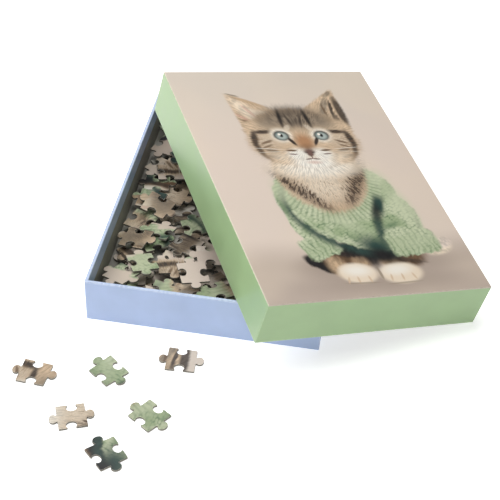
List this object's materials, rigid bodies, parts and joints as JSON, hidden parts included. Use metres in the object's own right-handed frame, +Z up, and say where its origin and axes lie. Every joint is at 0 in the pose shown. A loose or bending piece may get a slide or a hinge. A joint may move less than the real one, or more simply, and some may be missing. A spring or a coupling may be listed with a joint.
{
  "type": "boxed jigsaw puzzle",
  "caption": "Boxed jigsaw puzzle: a shallow rigid card tray of loose interlocking pieces, with its printed lid set down askew across it and a few pieces lying on the table in front.",
  "frame": {"origin": "the middle of the tray's underside", "axes": "+X to the right along the tray's front edge, +Y towards its back, +Z up"},
  "size_m": [0.3797, 0.4774, 0.1138],
  "materials": {
    "tray_wrap": "matte",
    "tray_board": "matte",
    "lid_wrap": "satin",
    "lid_picture": "satin",
    "lid_board": "matte",
    "stay_tape": "matte",
    "jigsaw_piece": "satin",
    "piece_heap": "matte"
  },
  "bodies": {
    "tray": {"piece_heap": "piece_heap", "tray_base_sheet": "tray_wrap", "tray_board_back": "tray_board", "tray_board_floor": "tray_board", "tray_board_front": "tray_board", "tray_board_left": "tray_board", "tray_board_right": "tray_board", "tray_corner_stay_1": "stay_tape", "tray_corner_stay_2": "stay_tape", "tray_corner_stay_3": "stay_tape", "tray_corner_stay_4": "stay_tape", "tray_piece_1": "jigsaw_piece", "tray_piece_10": "jigsaw_piece", "tray_piece_11": "jigsaw_piece", "tray_piece_12": "jigsaw_piece", "tray_piece_13": "jigsaw_piece", "tray_piece_14": "jigsaw_piece", "tray_piece_15": "jigsaw_piece", "tray_piece_16": "jigsaw_piece", "tray_piece_17": "jigsaw_piece", "tray_piece_18": "jigsaw_piece", "tray_piece_19": "jigsaw_piece", "tray_piece_2": "jigsaw_piece", "tray_piece_20": "jigsaw_piece", "tray_piece_21": "jigsaw_piece", "tray_piece_22": "jigsaw_piece", "tray_piece_23": "jigsaw_piece", "tray_piece_24": "jigsaw_piece", "tray_piece_3": "jigsaw_piece", "tray_piece_4": "jigsaw_piece", "tray_piece_5": "jigsaw_piece", "tray_piece_6": "jigsaw_piece", "tray_piece_7": "jigsaw_piece", "tray_piece_8": "jigsaw_piece", "tray_piece_9": "jigsaw_piece", "tray_side_wrap": "tray_wrap"},
    "lid": {"lid_board_back": "lid_board", "lid_board_front": "lid_board", "lid_board_left": "lid_board", "lid_board_right": "lid_board", "lid_board_top": "lid_board", "lid_corner_stay_1": "stay_tape", "lid_corner_stay_2": "stay_tape", "lid_corner_stay_3": "stay_tape", "lid_corner_stay_4": "stay_tape", "lid_picture_sheet": "lid_picture", "lid_side_wrap": "lid_wrap"},
    "free_piece_1": {"free_piece_1": "jigsaw_piece"},
    "free_piece_2": {"free_piece_2": "jigsaw_piece"},
    "free_piece_3": {"free_piece_3": "jigsaw_piece"},
    "free_piece_4": {"free_piece_4": "jigsaw_piece"},
    "free_piece_5": {"free_piece_5": "jigsaw_piece"},
    "free_piece_6": {"free_piece_6": "jigsaw_piece"},
    "free_piece_7": {"free_piece_7": "jigsaw_piece"},
    "loose_piece_1": {"loose_piece_1": "jigsaw_piece"},
    "loose_piece_2": {"loose_piece_2": "jigsaw_piece"},
    "loose_piece_3": {"loose_piece_3": "jigsaw_piece"},
    "loose_piece_4": {"loose_piece_4": "jigsaw_piece"},
    "loose_piece_5": {"loose_piece_5": "jigsaw_piece"},
    "loose_piece_6": {"loose_piece_6": "jigsaw_piece"}
  },
  "joints": [
    {"name": "lid_lift", "type": "slide", "parent": "tray", "child": "lid", "axis": [0, 0, 1], "range_m": [0, 0.15]},
    {"name": "free_piece_1_lift", "type": "slide", "parent": "tray", "child": "free_piece_1", "axis": [0, 0, 1], "range_m": [0, 0.06]},
    {"name": "free_piece_2_lift", "type": "slide", "parent": "tray", "child": "free_piece_2", "axis": [0, 0, 1], "range_m": [0, 0.06]},
    {"name": "free_piece_3_lift", "type": "slide", "parent": "tray", "child": "free_piece_3", "axis": [0, 0, 1], "range_m": [0, 0.06]},
    {"name": "free_piece_4_lift", "type": "slide", "parent": "tray", "child": "free_piece_4", "axis": [0, 0, 1], "range_m": [0, 0.06]},
    {"name": "free_piece_5_lift", "type": "slide", "parent": "tray", "child": "free_piece_5", "axis": [0, 0, 1], "range_m": [0, 0.06]},
    {"name": "free_piece_6_lift", "type": "slide", "parent": "tray", "child": "free_piece_6", "axis": [0, 0, 1], "range_m": [0, 0.06]},
    {"name": "free_piece_7_lift", "type": "slide", "parent": "tray", "child": "free_piece_7", "axis": [0, 0, 1], "range_m": [0, 0.06]},
    {"name": "loose_piece_1_lift", "type": "slide", "parent": "tray", "child": "loose_piece_1", "axis": [0, 0, 1], "range_m": [0, 0.06]},
    {"name": "loose_piece_2_lift", "type": "slide", "parent": "tray", "child": "loose_piece_2", "axis": [0, 0, 1], "range_m": [0, 0.06]},
    {"name": "loose_piece_3_lift", "type": "slide", "parent": "tray", "child": "loose_piece_3", "axis": [0, 0, 1], "range_m": [0, 0.06]},
    {"name": "loose_piece_4_lift", "type": "slide", "parent": "tray", "child": "loose_piece_4", "axis": [0, 0, 1], "range_m": [0, 0.06]},
    {"name": "loose_piece_5_lift", "type": "slide", "parent": "tray", "child": "loose_piece_5", "axis": [0, 0, 1], "range_m": [0, 0.06]},
    {"name": "loose_piece_6_lift", "type": "slide", "parent": "tray", "child": "loose_piece_6", "axis": [0, 0, 1], "range_m": [0, 0.06]}
  ]
}
